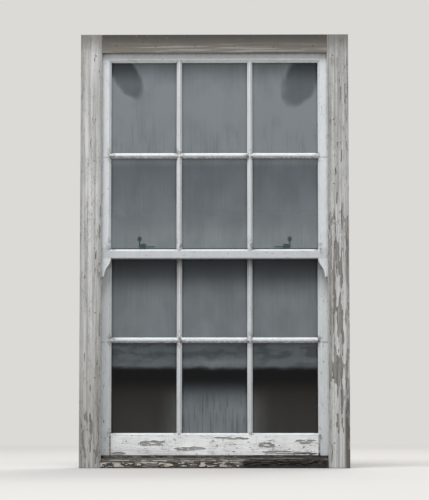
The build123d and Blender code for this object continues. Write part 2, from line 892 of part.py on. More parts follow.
def make_knob():
    """The left lever's turned knob, upright on its tail."""
    r, s, h = knob_radius, stem_radius, knob_height
    profile = make_face(
        [
            Line((0, 0), (s * 1.6, 0)),
            Line((s * 1.6, 0), (s, h * 0.15)),
            Line((s, h * 0.15), (s, h * 0.45)),
            Line((s, h * 0.45), (r, h * 0.6)),
            Line((r, h * 0.6), (r, h * 0.72)),
            ThreePointArc((r, h * 0.72), (r * 0.75, h * 0.9), (s / 2, h)),
            Line((s / 2, h), (0, h)),
            Line((0, h), (0, 0)),
        ]
    )
    knob = revolve(Plane.XZ * profile, axis=Axis.Z)
    return Pos(-fastener_x - lever_tail + lever_width / 2, pivot_y, lever_top) * knob


def make_keeper():
    """The left keeper on the upper meeting rail: plate, post and a roof over the tongue."""
    x = -fastener_x
    y1 = upper_y + sash_thickness
    y0 = y1 - keeper_width
    z0 = upper_rail_top
    low = boss_top - keeper_gap
    roof = lever_top + keeper_gap
    arm = lever_width / 2 + keeper_side_gap
    post = x - arm - keeper_post
    plate = Pos(x, (y0 + y1) / 2) * SlotOverall(keeper_length, keeper_width)
    keeper = along_z(plate, z0, z0 + plate_thickness)
    keeper += block(post, x - arm, y0 + 2, y1 - 2, z0, roof + keeper_roof)
    keeper += block(post, x + arm - 1, y0 + 2, y1 - 2, roof, roof + keeper_roof)
    keeper += block(post, x + arm + 2, y0 + 2, y1 - 2, z0, low)
    return keeper


def make_lift():
    """The left lift: a flat strap on the bottom rail, turned out and up into a hook."""
    y0 = lower_y + sash_thickness
    t, out = lift_strap, lift_projection
    z0, z1 = lift_height - lift_plate_height / 2, lift_height + lift_plate_height / 2
    r = out / 2
    middle = y0 + r
    section = make_face(
        [
            Line((y0, z1), (y0, z0)),
            RadiusArc((y0, z0), (y0 + out, z0), -r),
            Line((y0 + out, z0), (y0 + out, z0 + lift_hook_rise)),
            Line((y0 + out, z0 + lift_hook_rise), (y0 + out - t, z0 + lift_hook_rise)),
            Line((y0 + out - t, z0 + lift_hook_rise), (y0 + out - t, z0)),
            RadiusArc((y0 + out - t, z0), (y0 + t, z0), r - t),
            Line((y0 + t, z0), (y0 + t, z1)),
            Line((y0 + t, z1), (y0, z1)),
        ]
    )
    half = lift_width / 2
    strap = extrude(Plane.YZ.offset(-lift_x - half) * section, amount=lift_width, dir=(1, 0, 0))
    return strap


nodes["fastener_bases"] = make_base() + on_right(make_base())
add_pair("fastener_lever", make_lever())
add_pair("fastener_knob", make_knob())
nodes["fastener_keepers"] = make_keeper() + on_right(make_keeper())
nodes["sash_lifts"] = make_lift() + on_right(make_lift())

os.makedirs("parts", exist_ok=True)
for name, shape in nodes.items():
    export_step(shape, f"parts/{name}.step")
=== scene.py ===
import random
from math import atan, atan2, ceil, cos, exp, hypot, pi, radians, sin

import bpy
import numpy as np
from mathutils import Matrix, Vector, noise


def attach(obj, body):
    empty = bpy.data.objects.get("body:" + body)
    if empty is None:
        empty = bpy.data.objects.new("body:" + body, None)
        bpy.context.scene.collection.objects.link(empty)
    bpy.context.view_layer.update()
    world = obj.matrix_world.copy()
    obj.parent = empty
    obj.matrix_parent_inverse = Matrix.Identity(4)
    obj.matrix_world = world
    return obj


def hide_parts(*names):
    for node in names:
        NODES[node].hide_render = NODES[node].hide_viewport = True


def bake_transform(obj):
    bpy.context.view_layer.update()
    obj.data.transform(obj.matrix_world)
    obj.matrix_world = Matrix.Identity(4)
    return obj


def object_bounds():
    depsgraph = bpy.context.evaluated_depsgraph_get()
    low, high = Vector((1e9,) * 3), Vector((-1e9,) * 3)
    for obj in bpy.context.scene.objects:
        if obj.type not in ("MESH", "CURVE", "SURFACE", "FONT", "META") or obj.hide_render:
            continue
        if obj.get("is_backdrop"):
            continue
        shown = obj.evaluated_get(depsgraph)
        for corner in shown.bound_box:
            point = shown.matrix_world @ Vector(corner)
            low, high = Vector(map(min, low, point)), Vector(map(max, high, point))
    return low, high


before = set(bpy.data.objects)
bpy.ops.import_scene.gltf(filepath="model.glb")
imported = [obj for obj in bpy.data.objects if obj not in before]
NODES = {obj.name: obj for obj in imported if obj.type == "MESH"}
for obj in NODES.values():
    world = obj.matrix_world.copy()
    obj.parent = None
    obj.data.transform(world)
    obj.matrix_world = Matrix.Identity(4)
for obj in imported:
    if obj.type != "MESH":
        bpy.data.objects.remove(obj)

# An old painted box sash window: worn paint on its outside boards, a rotten sill, dusty glass.
# Everything is in metres, in the CAD's frame: X to the right seen from outside, Y from the
# outside face towards the inside face, Z up from the underside of the sill.

cad_low, cad_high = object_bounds()

# Sizes that repeat the part's own
FRONT, BACK = -0.071, 0.071  # outside and inside face of the linings
LINING_EDGE = 0.458  # the outer linings' edge next to the sashes
HALF_FRAME = 0.544
FRAME_TOP = 1.760
SIGHT_X = 0.4205  # inner edge of the sashes' stiles
LOWER_FACE = 0.0055  # outside face of the lower sash
SILL_NOSE = 0.028  # height of the sill's front edge
SILL_SLOPE = 0.1584
ROT_LEFT, ROT_LENGTH = 0.112, 0.343  # the rotten hollow in the sill's front
RAIL_LOW, RAIL_HIGH = 0.0510, 0.1315  # face of the bottom rail
PANE_PITCH = 0.28766  # from one upright bar to the next
HALF_PANE = 0.1328
CROSS_BARS = (1.267, 0.5175)  # heights of the cross bars' middles
RAILS = (0.892, 0.1315)  # heights at which upright bars meet a rail
SASHES_MEET = 0.868  # all the upper sash's glass is above it, the lower's below
TRACKS = {"upper": -0.0285, "lower": 0.0265}  # middle of each sash's thickness
WHEEL, AXLE_X, AXLE_Z = 0.0245, 0.4905, 1.620  # the cords' radius on a wheel, its axle
STILE_FACE = 0.472  # the pulley stiles' faces towards the sashes
FASTENER_X, LIFT_X = 0.290, 0.235
BASE_Y, BASE_TOP = 0.0255, 0.8945  # the fasteners' bases on the lower sash
KEEPER_Y, KEEPER_TOP = -0.0175, 0.8865  # their keepers on the upper sash
LIFT_FACE = 0.050


# Materials

class Tree:
    """A node tree under construction. Its methods return nodes, or the sockets that they make."""

    def __init__(self, tree):
        self.tree = tree
        self.tree.nodes.clear()

    def add(self, kind, inputs=None, **settings):
        node = self.tree.nodes.new(kind)
        for key, value in settings.items():
            setattr(node, key, value)
        for key, value in (inputs or {}).items():
            if isinstance(value, bpy.types.NodeSocket):
                self.tree.links.new(value, node.inputs[key])
            else:
                node.inputs[key].default_value = value
        return node

    def math(self, operation, a, b=0.0, clamp=False):
        return self.add(
            "ShaderNodeMath", {0: a, 1: b}, operation=operation, use_clamp=clamp
        ).outputs[0]


class Look(Tree):
    """A material under construction, in the coordinates of the object that wears it."""

    def __init__(self, name):
        self.material = bpy.data.materials.new(name)
        self.material.use_nodes = True
        super().__init__(self.material.node_tree)
        coordinates = self.add("ShaderNodeTexCoord")
        self.where = coordinates.outputs["Object"]
        self.normal = coordinates.outputs["Normal"]
        self.x, self.y, self.z = self.add("ShaderNodeSeparateXYZ", {0: self.where}).outputs
        self.facing_in = self.add("ShaderNodeSeparateXYZ", {0: self.normal}).outputs[1]

    def noise(self, size, detail=3.0, rough=0.55, warp=0.0, seed=0.0):
        """Noise whose features are about size = (x, y, z) metres."""
        scale = [1 / s for s in size]
        moved = self.add(
            "ShaderNodeMapping", {"Vector": self.where, "Scale": scale, "Location": [seed] * 3}
        )
        inputs = {"Vector": moved.outputs[0], "Scale": 1.0, "Detail": detail}
        inputs.update({"Roughness": rough, "Distortion": warp})
        return self.add("ShaderNodeTexNoise", inputs).outputs[0]

    def step(self, value, low, high):
        """0 up to low, 1 from high on, smooth between."""
        inputs = {"Value": value, "From Min": low, "From Max": high}
        return self.add("ShaderNodeMapRange", inputs, interpolation_type="SMOOTHSTEP").outputs[0]

    def near(self, value, centre, width):
        """1 where value is at centre, 0 from width away on."""
        off = self.math("ABSOLUTE", self.math("SUBTRACT", value, centre))
        return self.step(off, width, 0.0)

    def between(self, value, low, high):
        """1 from low to high, 0 elsewhere."""
        above, below = self.math("GREATER_THAN", value, low), self.math("LESS_THAN", value, high)
        return self.both(above, below)

    def chain(self, operation, values):
        out = values[0]
        for value in values[1:]:
            out = self.math(operation, out, value)
        return out

    def both(self, *masks):
        """The product: 1 where all masks are, and scaled by a number among them."""
        return self.chain("MULTIPLY", masks)

    def either(self, *masks):
        """The largest of them."""
        return self.chain("MAXIMUM", masks)

    def total(self, *values):
        return self.chain("ADD", values)

    def mix(self, share, a, b):
        """Colour a turned into b by share."""
        inputs = {0: share, 6: opaque(a), 7: opaque(b)}
        return self.add("ShaderNodeMix", inputs, data_type="RGBA").outputs[2]

    def shade(self, colour, amount):
        """A colour made lighter or darker by a value near 1."""
        grey = self.add("ShaderNodeCombineColor", {0: amount, 1: amount, 2: amount}).outputs[0]
        inputs = {0: 1.0, 6: opaque(colour), 7: grey}
        return self.add(
            "ShaderNodeMix", inputs, data_type="RGBA", blend_type="MULTIPLY"
        ).outputs[2]

    def span(self, value, low, high):
        """A value from 0 to 1 turned into one from low to high."""
        inputs = {"Value": value, "To Min": low, "To Max": high}
        return self.add("ShaderNodeMapRange", inputs).outputs[0]

    def crease(self, reach):
        """1 in corners and cracks, 0 in the open."""
        sky = self.add("ShaderNodeAmbientOcclusion", {"Distance": reach}, samples=6)
        return self.math("SUBTRACT", 1.0, sky.outputs["AO"], clamp=True)

    def arris(self, radius):
        """1 along outside corners, and the normal that rounds them."""
        rounded = self.add("ShaderNodeBevel", {"Radius": radius}, samples=6).outputs[0]
        flat = self.add("ShaderNodeNewGeometry").outputs["Normal"]
        same = self.add(
            "ShaderNodeVectorMath", {0: rounded, 1: flat}, operation="DOT_PRODUCT"
        ).outputs["Value"]
        return self.step(same, 0.985, 0.80), rounded

    def done(self, colour, roughness, height, strength, depth, normal=None, **fixed):
        """Joins everything to one shader, with height as its relief, and returns the material."""
        inputs = {"Base Color": opaque(colour), "Roughness": roughness}
        inputs.update({name.replace("_", " "): value for name, value in fixed.items()})
        shader = self.add("ShaderNodeBsdfPrincipled", inputs)
        relief = {"Height": height, "Strength": strength, "Distance": depth}
        if normal is not None:
            relief["Normal"] = normal
        bump = self.add("ShaderNodeBump", relief)
        self.tree.links.new(bump.outputs[0], shader.inputs["Normal"])
        out = self.add("ShaderNodeOutputMaterial")
        self.tree.links.new(shader.outputs[0], out.inputs["Surface"])
        return self.material


def opaque(colour):
    if isinstance(colour, bpy.types.NodeSocket):
        return colour
    return (*colour, 1.0)


def grained(grain, across, along):
    """Sizes of a feature that is long in the direction of the grain."""
    return (along, across, across) if grain == "x" else (across, across, along)


def timber(look, grain, dark, pale):
    """Bare wood: colour, height and open cracks."""
    growth = look.noise(grained(grain, 0.0035, 0.35), detail=4, warp=0.6, seed=3)
    fibre = look.noise(grained(grain, 0.0009, 0.05), detail=2, seed=11)
    wide = look.noise(grained(grain, 0.03, 0.3), detail=2, seed=7)
    tone = look.total(look.both(growth, 0.6), look.both(fibre, 0.4))
    colour = look.mix(look.step(tone, 0.36, 0.66), dark, pale)
    colour = look.shade(colour, look.span(wide, 0.75, 1.25))
    lines = look.noise(grained(grain, 0.006, 0.16), detail=3, warp=0.4, seed=19)
    crack = look.near(lines, 0.5, 0.016)
    height = look.math("SUBTRACT", look.both(tone, 0.6), crack)
    return colour, height, crack


def shade_from_height(s, paint, cloud, grain, edge):
    """Brown dirt in patches, painted shade from a height up, paler remains below it."""
    paint = s.mix(s.both(s.step(cloud, 0.46, 0.64), 0.5), paint, (0.136, 0.108, 0.086))
    # painted shade: a little lighter below the height edge, much darker above it
    paint = s.shade(paint, s.span(s.step(s.z, edge - 0.02, edge + 0.06), 1.22, 0.36))
    streaks = s.noise(grained(grain, 0.008, 0.26), detail=4, rough=0.6, seed=137)
    remains = s.both(s.step(streaks, 0.49, 0.60), s.step(s.z, edge + 0.032, edge + 0.004))
    return s.mix(s.both(remains, 0.55), paint, (0.290, 0.276, 0.255))


def joint_dirt_and_bar_shadow(s, paint, ragged_edge, dark):
    """Outside: dirt in spots where bars meet, painted shadow in a line under the cross bars."""
    side = s.math("ABSOLUTE", s.x)
    at_bar = s.step(s.math("ABSOLUTE", s.math("SUBTRACT", side, PANE_PITCH / 2)), 0.034, 0.008)
    at_stile = s.step(s.math("ABSOLUTE", s.math("SUBTRACT", side, SIGHT_X)), 0.026, 0.004)
    meeting = s.either(*(s.near(s.z, z, 0.046) for z in CROSS_BARS + RAILS))
    patchy = s.step(s.noise((0.015, 0.03, 0.018), detail=4, rough=0.65, seed=127), 0.46, 0.60)
    spots = s.both(s.either(at_bar, at_stile), meeting, patchy, 0.80)
    # painted shadow: a dark line just under each cross bar
    beneath = s.either(*(s.near(s.z, z - 0.0085, 0.0055) for z in CROSS_BARS))
    bar_shadow = s.both(beneath, s.step(ragged_edge, 0.30, 0.66), 0.75)
    outdoors = s.step(s.facing_in, 0.4, 0.1)
    return s.mix(s.both(s.either(spots, bar_shadow), outdoors), paint, dark)


def rail_streaks_and_shadows(s, paint, streak, ragged_edge):
    """Streaks on the upper meeting rail's face; painted shadow under it and under the head lining.
    """
    rail_face = s.both(
        s.step(s.z, 0.842, 0.850), s.step(s.z, 0.894, 0.886), s.step(s.y, -0.040, -0.046)
    )
    paint = s.shade(paint, s.span(s.both(rail_face, s.span(streak, 0.6, 1.3)), 1.0, 0.80))
    # painted shadow under the upper meeting rail, on the lower sash
    below_rail = s.both(
        s.step(s.z, 0.795, 0.850), s.step(s.z, 0.885, 0.868),
        s.math("GREATER_THAN", s.y, 0.002), s.step(s.y, 0.030, 0.024),
    )
    # painted shadow under the head lining, on the upper sash's top rail
    below_head = s.both(s.step(s.z, 1.676, 1.687), s.step(s.y, -0.030, -0.036))
    painted_shadow = s.either(s.both(below_rail, 0.92), s.both(below_head, 0.36))
    painted_shadow = s.both(painted_shadow, s.span(ragged_edge, 0.7, 1.0))
    return s.mix(painted_shadow, paint, (0.050, 0.047, 0.043))


def old_paint(
    name, colour, grain, wood, dark=(0.075, 0.068, 0.060), chips=0.50, grime_and_shade=0.6, lines=0.6,
    edge=0.6, stain=(0.46, 0.44, 0.40), rough=0.46, front_bare=None, streaks_and_shadows=False, dusk=None,
    bars=False,
):
    """Oil paint over softwood, brushed along the grain, with grime and painted shade in creases,
    cracks and chipped arrises.

    chips, grime_and_shade, lines and edge say how much is flaked off, dirty and shaded, cracked
    and chipped. What is further out than front_bare is bare wood, whose dark and pale colour is
    wood. The paint gets painted shade from the height dusk up.
    """
    s = Look(name)
    brush = s.noise(grained(grain, 0.0016, 0.09), detail=2, seed=5)
    cloud = s.noise((0.06, 0.06, 0.09), detail=4, seed=23)
    streak = s.noise((0.010, 0.010, 0.22), detail=4, seed=31)
    paint = s.shade(colour, s.span(cloud, 0.90, 1.10))
    paint = s.shade(paint, s.span(brush, 0.95, 1.05))
    paint = s.mix(s.both(s.step(streak, 0.50, 0.74), 0.55 * grime_and_shade), paint, stain)
    # grime and painted shade: darker in patches where ambient occlusion finds creases
    crease = s.step(s.crease(0.016), 0.18, 0.75)
    ragged_edge = s.noise((0.012, 0.012, 0.03), detail=4, seed=41)
    dark_mask = s.both(crease, s.step(ragged_edge, 0.30, 0.62), grime_and_shade)
    paint = s.mix(dark_mask, paint, dark)
    cracked = s.noise(grained(grain, 0.009, 0.14), detail=4, warp=0.5, seed=53)
    some = s.step(s.noise((0.05, 0.05, 0.08), detail=2, seed=59), 0.50, 0.66)
    crack = s.both(s.near(cracked, 0.5, 0.010), some, lines)
    paint = s.mix(crack, paint, dark)
    if dusk is not None:
        paint = shade_from_height(s, paint, cloud, grain, dusk)
    if bars:
        paint = joint_dirt_and_bar_shadow(s, paint, ragged_edge, dark)
    if streaks_and_shadows:
        paint = rail_streaks_and_shadows(s, paint, streak, ragged_edge)
    bare, height, open_crack = timber(s, grain, *wood)
    bare = s.mix(open_crack, bare, (0.03, 0.027, 0.024))
    corner, rounded = s.arris(0.0022)
    flaky = s.noise(grained(grain, 0.007, 0.022), detail=5, rough=0.62, seed=67)
    lost = s.either(
        s.step(flaky, 1.14 - chips, 1.17 - chips),
        s.both(s.step(s.total(flaky, s.both(corner, 0.16 * edge)), 0.62, 0.66), corner),
    )
    if front_bare is not None:
        lost = s.either(lost, s.math("LESS_THAN", s.y, front_bare))
    whole = s.mix(lost, paint, bare)
    gloss = s.span(s.either(lost, dark_mask), rough, 0.86)
    relief = s.total(s.both(brush, 0.25), s.both(cloud, 0.5))
    relief = s.math("SUBTRACT", relief, s.both(crack, 0.8))
    sunk = s.math("SUBTRACT", s.both(height, 0.35), 0.7)
    relief = s.add("ShaderNodeMix", {0: lost, 2: relief, 3: sunk}, data_type="FLOAT").outputs[0]
    return s.done(whole, gloss, relief, 0.5, 0.0012, normal=rounded)


def bare_timber(name, grain, dark, pale):
    """Softwood without paint."""
    s = Look(name)
    colour, height, crack = timber(s, grain, dark, pale)
    colour = s.mix(crack, colour, tuple(0.25 * c for c in dark))
    # painted shade: darker in creases, where ambient occlusion finds them
    colour = s.mix(s.both(s.step(s.crease(0.02), 0.25, 0.9), 0.6), colour, (0.05, 0.045, 0.04))
    return s.done(colour, 0.82, height, 0.7, 0.0015)


def rotten_timber(name):
    """The sill: dark wet rot at the right, brown-grey wood elsewhere, sounder behind its nose."""
    s = Look(name)
    colour, height, crack = timber(s, "x", (0.030, 0.024, 0.019), (0.165, 0.140, 0.115))
    cubes = s.add(
        "ShaderNodeTexVoronoi", {"Vector": s.where, "Scale": 95.0}, feature="DISTANCE_TO_EDGE"
    )
    gaps = s.step(cubes.outputs["Distance"], 0.09, 0.02)
    blotch = s.noise((0.05, 0.02, 0.02), detail=5, rough=0.65, seed=83)
    colour = s.mix(s.step(blotch, 0.46, 0.60), colour, (0.245, 0.225, 0.200))
    colour = s.mix(s.both(gaps, s.step(blotch, 0.60, 0.45)), colour, (0.008, 0.007, 0.006))
    colour = s.mix(crack, colour, (0.010, 0.008, 0.007))
    right = s.both(s.step(s.x, 0.095, 0.135), s.step(s.x, 0.475, 0.445), s.step(s.y, 0.008, -0.006))
    colour = s.mix(s.both(right, 0.93), colour, (0.009, 0.008, 0.007))
    # painted shade: darker in creases, where ambient occlusion finds them
    colour = s.mix(s.both(s.step(s.crease(0.02), 0.1, 0.7), 0.8), colour, (0.012, 0.010, 0.009))
    sound, _, _ = timber(s, "x", (0.115, 0.093, 0.070), (0.285, 0.240, 0.190))
    colour = s.mix(s.step(s.y, 0.004, 0.026), colour, sound)
    height = s.math("SUBTRACT", height, s.both(gaps, s.step(s.y, 0.010, -0.010), 0.8))
    return s.done(colour, 0.88, height, 0.9, 0.002)


def dull_oval(s, uneven, middle, lean, half_length, half_width):
    """A blurred oval on the glass, its long axis leaning from upright by an angle."""
    right, up = s.math("SUBTRACT", s.x, middle[0]), s.math("SUBTRACT", s.z, middle[1])
    along = s.total(s.both(right, sin(lean)), s.both(up, cos(lean)))
    across = s.math("SUBTRACT", s.both(right, cos(lean)), s.both(up, sin(lean)))
    along, across = s.both(along, 1 / half_length), s.both(across, 1 / half_width)
    return s.step(s.total(s.both(along, along), s.both(across, across), uneven), 1.24, 0.60)


def top_row(s):
    """The level of the top row of panes: lower at their tops, lowest in the two outer corners."""
    uneven = s.span(s.noise((0.05, 0.05, 0.06), detail=2, seed=67), -0.35, 0.35)
    corners = s.either(
        dull_oval(s, uneven, (-0.368, 1.605), -0.57, 0.115, 0.053),
        dull_oval(s, uneven, (0.358, 1.582), 0.47, 0.128, 0.070),
    )
    highest = s.both(corners, s.step(s.z, 1.56, 1.65))
    # painted shade: darker towards the tops of the top row's panes
    level = s.span(s.step(s.z, 1.672, 1.545), 0.40, 0.98)
    return s.both(level, s.span(corners, 1.0, 0.48), s.span(highest, 1.0, 0.30))


def lowest_row(s, wavy_z, band, under, outer, central):
    """Lowest row's level, painted shade: dim in a band at its top, and low under it at the sides.
    """
    side = s.math("ABSOLUTE", s.x)
    clutter = s.step(s.noise((0.060, 0.03, 0.024), detail=2, rough=0.4, seed=63), 0.40, 0.60)
    rim = s.both(s.near(wavy_z, 0.426, 0.036), s.span(central, 0.12, 0.36))
    dim_band = s.total(s.span(clutter, 0.20, 0.36), rim)
    shoulder = s.both(s.step(side, 0.245, 0.155), s.step(s.z, 0.355, 0.26), outer, 0.30)
    beside = s.total(s.both(s.step(s.z, 0.38, 0.15), outer, 0.26), shoulder)
    foot = s.total(beside, s.both(central, s.step(s.z, 0.372, 0.225), 0.78))
    return s.total(s.both(band, dim_band), s.both(under, foot))


def dusty_glass(name):
    """Old drawn glass: slightly wavy, dark, with a film of dust, darker beside the uprights.

    level says how pale it is, from 0 to 1: pale glass has more dust and lets more light through.
    Much of its dark is painted shade: a dark room behind, the tops of the top row, and bands under
    and above the meeting rail.
    """
    s = Look(name)
    across = s.math("FRACT", s.total(s.math("DIVIDE", s.x, PANE_PITCH), 0.5))
    from_middle = s.both(s.math("ABSOLUTE", s.math("SUBTRACT", across, 0.5)), PANE_PITCH)
    edge = s.step(from_middle, HALF_PANE - 0.012, HALF_PANE)
    side = s.math("ABSOLUTE", s.x)
    outer, central = s.step(side, 0.11, 0.18), s.step(side, 0.18, 0.11)
    wavy_z = s.total(s.z, s.span(s.noise((0.07, 0.05, 0.07), seed=61), 0.012, -0.012))
    band, under = s.step(wavy_z, 0.390, 0.414), s.step(wavy_z, 0.414, 0.390)
    second = s.span(s.step(s.z, 1.25, 0.92), 0.48, 0.78)
    second = s.total(second, s.both(s.near(s.z, 1.250, 0.034), 0.26))
    # painted shadow: dark at the top of the third row, under the meeting rail
    third = s.span(s.step(s.z, 0.858, 0.68), 0.04, 0.78)
    lowest = lowest_row(s, wavy_z, band, under, outer, central)
    rows = (
        (top_row(s), CROSS_BARS[0], 2.0),
        (second, SASHES_MEET, CROSS_BARS[0]),
        (third, CROSS_BARS[1], SASHES_MEET),
        (lowest, 0.0, CROSS_BARS[1]),
    )
    level = s.total(*(s.both(row, s.between(s.z, low, high)) for row, low, high in rows))
    cloud = s.noise((0.10, 0.10, 0.16), detail=4, rough=0.6, seed=7)
    smear = s.noise((0.030, 0.03, 0.055), detail=3, warp=0.8, seed=8)
    streak = s.noise((0.007, 0.02, 0.30), detail=4, seed=13)
    patches = s.span(s.step(cloud, 0.34, 0.66), 0.91, 1.11)
    runs = s.span(s.step(streak, 0.36, 0.66), 0.955, 1.045)
    level = s.both(level, patches, s.span(smear, 0.93, 1.07), runs)
    drips = s.step(s.noise((0.0065, 0.02, 0.11), detail=3, rough=0.5, seed=17), 0.53, 0.62)
    feet = s.either(
        s.both(s.step(s.z, 1.47, 1.32), s.between(s.z, CROSS_BARS[0], 1.5)),
        s.both(s.step(s.z, 1.02, 0.92), s.between(s.z, SASHES_MEET, 1.1), 0.6),
        s.both(s.step(s.z, 0.34, 0.22), central, 1.7),
    )
    level = s.math("SUBTRACT", level, s.both(drips, feet, 0.17), clamp=True)
    level = s.math("SUBTRACT", level, s.both(edge, 0.22), clamp=True)

    # painted shade: glass darker, bluer and clearer above the meeting rail, at the fasteners'
    # height
    shade_above_rail = s.both(s.between(s.z, SASHES_MEET, 1.06), s.step(s.z, 1.06, 0.93))
    # painted shade of a dark room behind: dark outer panes in the lowest row, a near-black strip
    # across it
    dark_foot = s.both(outer, under)
    gap = s.both(under, s.step(s.z, 0.285, 0.368))
    film = s.both(
        s.span(level, 0.02, 0.37), s.span(shade_above_rail, 1.0, 0.72),
        s.span(dark_foot, 1.0, 0.30), s.span(gap, 1.0, 0.10),
    )
    base = s.mix(dark_foot, (0.009, 0.013, 0.016), (0.0125, 0.0095, 0.0058))
    base = s.mix(gap, base, (0.0010, 0.0013, 0.0013))
    colour = s.mix(film, base, (0.40, 0.455, 0.495))
    colour = s.mix(s.both(shade_above_rail, 0.85), colour, (0.056, 0.086, 0.102))
    dense = s.math("SUBTRACT", s.span(level, 0.94, 0.57), s.both(shade_above_rail, 0.165))
    dense = s.total(dense, s.either(s.both(dark_foot, 0.045), s.both(gap, 0.06)))
    alpha = s.math("ADD", dense, s.both(film, 0.35), clamp=True)
    wave = s.noise((0.11, 0.11, 0.16), detail=1, seed=2)
    fixed = {"Alpha": alpha, "IOR": 1.5, "Specular_IOR_Level": 0.17}
    return s.done(colour, s.span(film, 0.04, 0.55), wave, 0.25, 0.004, **fixed)


def metal(name, dull, bright, wear=0.5, rough=(0.32, 0.62), metallic=1.0, rust=None, left=None):
    """Handled metal, dull in its hollows and brighter where it rubs.

    left is a darker colour given to what stands on the window's left.
    """
    s = Look(name)
    cloud = s.noise((0.006, 0.006, 0.006), detail=5, rough=0.6, seed=17)
    fine = s.noise((0.0011, 0.0011, 0.0011), detail=3, seed=29)
    corner, rounded = s.arris(0.0009)
    worn = s.either(s.both(corner, wear), s.both(s.step(cloud, 0.46, 0.68), wear))
    colour = s.mix(worn, dull, bright)
    if left is not None:
        colour = s.mix(s.both(s.step(s.x, 0.1, -0.1), 0.75), colour, left)
    if rust is not None:
        colour = s.mix(s.step(fine, 0.44, 0.60), colour, rust)
    gloss = s.span(s.total(s.both(cloud, 0.7), s.both(fine, 0.3)), *rough)
    return s.done(colour, gloss, fine, 0.35, 0.0004, normal=rounded, Metallic=metallic)


def braided_cotton(name):
    """Sash cord: strands cross over each other round it."""
    s = Look(name)
    way = s.add("ShaderNodeSeparateXYZ", {0: s.normal})
    turn = s.math("ARCTAN2", way.outputs[0], way.outputs[1])
    rise, around = s.both(s.z, 2 * pi / 0.0085), s.both(turn, 4.0)
    one = s.math("SINE", s.total(around, rise))
    two = s.math("SINE", s.math("SUBTRACT", around, rise))
    strand = s.math("ABSOLUTE", s.both(one, two))
    soil = s.noise((0.02, 0.02, 0.07), detail=4, seed=37)
    fibre = s.noise((0.0004, 0.0004, 0.0012), detail=2, seed=43)
    colour = s.mix(s.step(soil, 0.35, 0.7), (0.52, 0.47, 0.38), (0.34, 0.29, 0.22))
    colour = s.mix(s.step(strand, 0.30, 0.0), colour, (0.16, 0.13, 0.10))
    colour = s.shade(colour, s.span(fibre, 0.85, 1.15))
    return s.done(colour, 0.92, strand, 0.9, 0.0006)


# Colours of paint, and of woods from dark to pale
SASH = (0.565, 0.584, 0.600)
INSIDE = (0.690, 0.672, 0.620)
GREY_WOOD = ((0.10, 0.093, 0.084), (0.36, 0.345, 0.32))
DEAL = ((0.200, 0.138, 0.083), (0.405, 0.305, 0.200))
COAT_FOOT = 0.0004  # boards under a coat are bare from this far behind their face on

sash_upright = old_paint(
    "sash_paint_upright", SASH, "z", wood=GREY_WOOD, streaks_and_shadows=True, bars=True
)
sash_level = old_paint("sash_paint_level", SASH, "x", wood=GREY_WOOD, streaks_and_shadows=True)
sash_small = old_paint(
    "sash_paint_bars", SASH, "z", wood=GREY_WOOD, chips=0.47, grime_and_shade=0.80, streaks_and_shadows=True, bars=True
)
sash_cross = old_paint(
    "sash_paint_cross", SASH, "x", wood=GREY_WOOD, chips=0.47, grime_and_shade=0.85, bars=True
)
rail_wood = old_paint(
    "bottom_rail_wood", SASH, "x", wood=((0.20, 0.195, 0.18), (0.46, 0.455, 0.43)),
    front_bare=LOWER_FACE + COAT_FOOT,
)
lining_wood = old_paint(
    "outer_lining_wood", (0.50, 0.50, 0.49), "z", wood=GREY_WOOD, chips=0.54,
    front_bare=FRONT + COAT_FOOT,
)
# the head lining's dark colour is partly dirty brown paint, partly painted shade
head_paint = old_paint(
    "head_lining_paint", (0.121, 0.111, 0.097), "x", chips=0.50, grime_and_shade=0.7,
    wood=((0.07, 0.063, 0.055), (0.20, 0.185, 0.165)), stain=(0.100, 0.090, 0.080), rough=0.8,
    dusk=1.70,
)
inside_paint, inside_level = (
    old_paint(
        name, INSIDE, grain, wood=DEAL, chips=0.42, grime_and_shade=0.35, lines=0.25, edge=0.5,
        stain=(0.60, 0.56, 0.48), rough=0.36,
    )
    for name, grain in (("inside_paint", "z"), ("inside_paint_level", "x"))
)
deal_upright = bare_timber("bare_softwood", "z", *DEAL)
deal_level = bare_timber("bare_softwood_level", "x", *DEAL)
sill_wood = rotten_timber("sill_timber")
putty = old_paint(
    "painted_putty", (0.640, 0.660, 0.670), "x", dark=(0.10, 0.095, 0.088), chips=0.45, grime_and_shade=0.9,
    wood=((0.22, 0.21, 0.19), (0.42, 0.40, 0.37)), lines=0.9, edge=0.2, rough=0.6, streaks_and_shadows=True,
    bars=True,
)
glass = dusty_glass("old_glass")
brass = metal(
    "dull_brass", (0.150, 0.105, 0.050), (0.52, 0.38, 0.17), wear=0.7, left=(0.050, 0.040, 0.028)
)
wheel_brass = metal("wheel_brass", (0.30, 0.215, 0.095), (0.66, 0.50, 0.24), wear=0.8)
pulley_iron = metal(
    "pulley_iron", (0.055, 0.050, 0.046), (0.20, 0.18, 0.165), rough=(0.45, 0.75), metallic=0.8,
    rust=(0.105, 0.052, 0.026),
)
pin_steel = metal("pin_steel", (0.26, 0.25, 0.24), (0.55, 0.54, 0.53), wear=0.6)
cast_iron = metal(
    "cast_iron", (0.050, 0.042, 0.036), (0.12, 0.10, 0.085), rough=(0.6, 0.85), metallic=0.6,
    rust=(0.150, 0.068, 0.032),
)
cotton = braided_cotton("sash_cord")

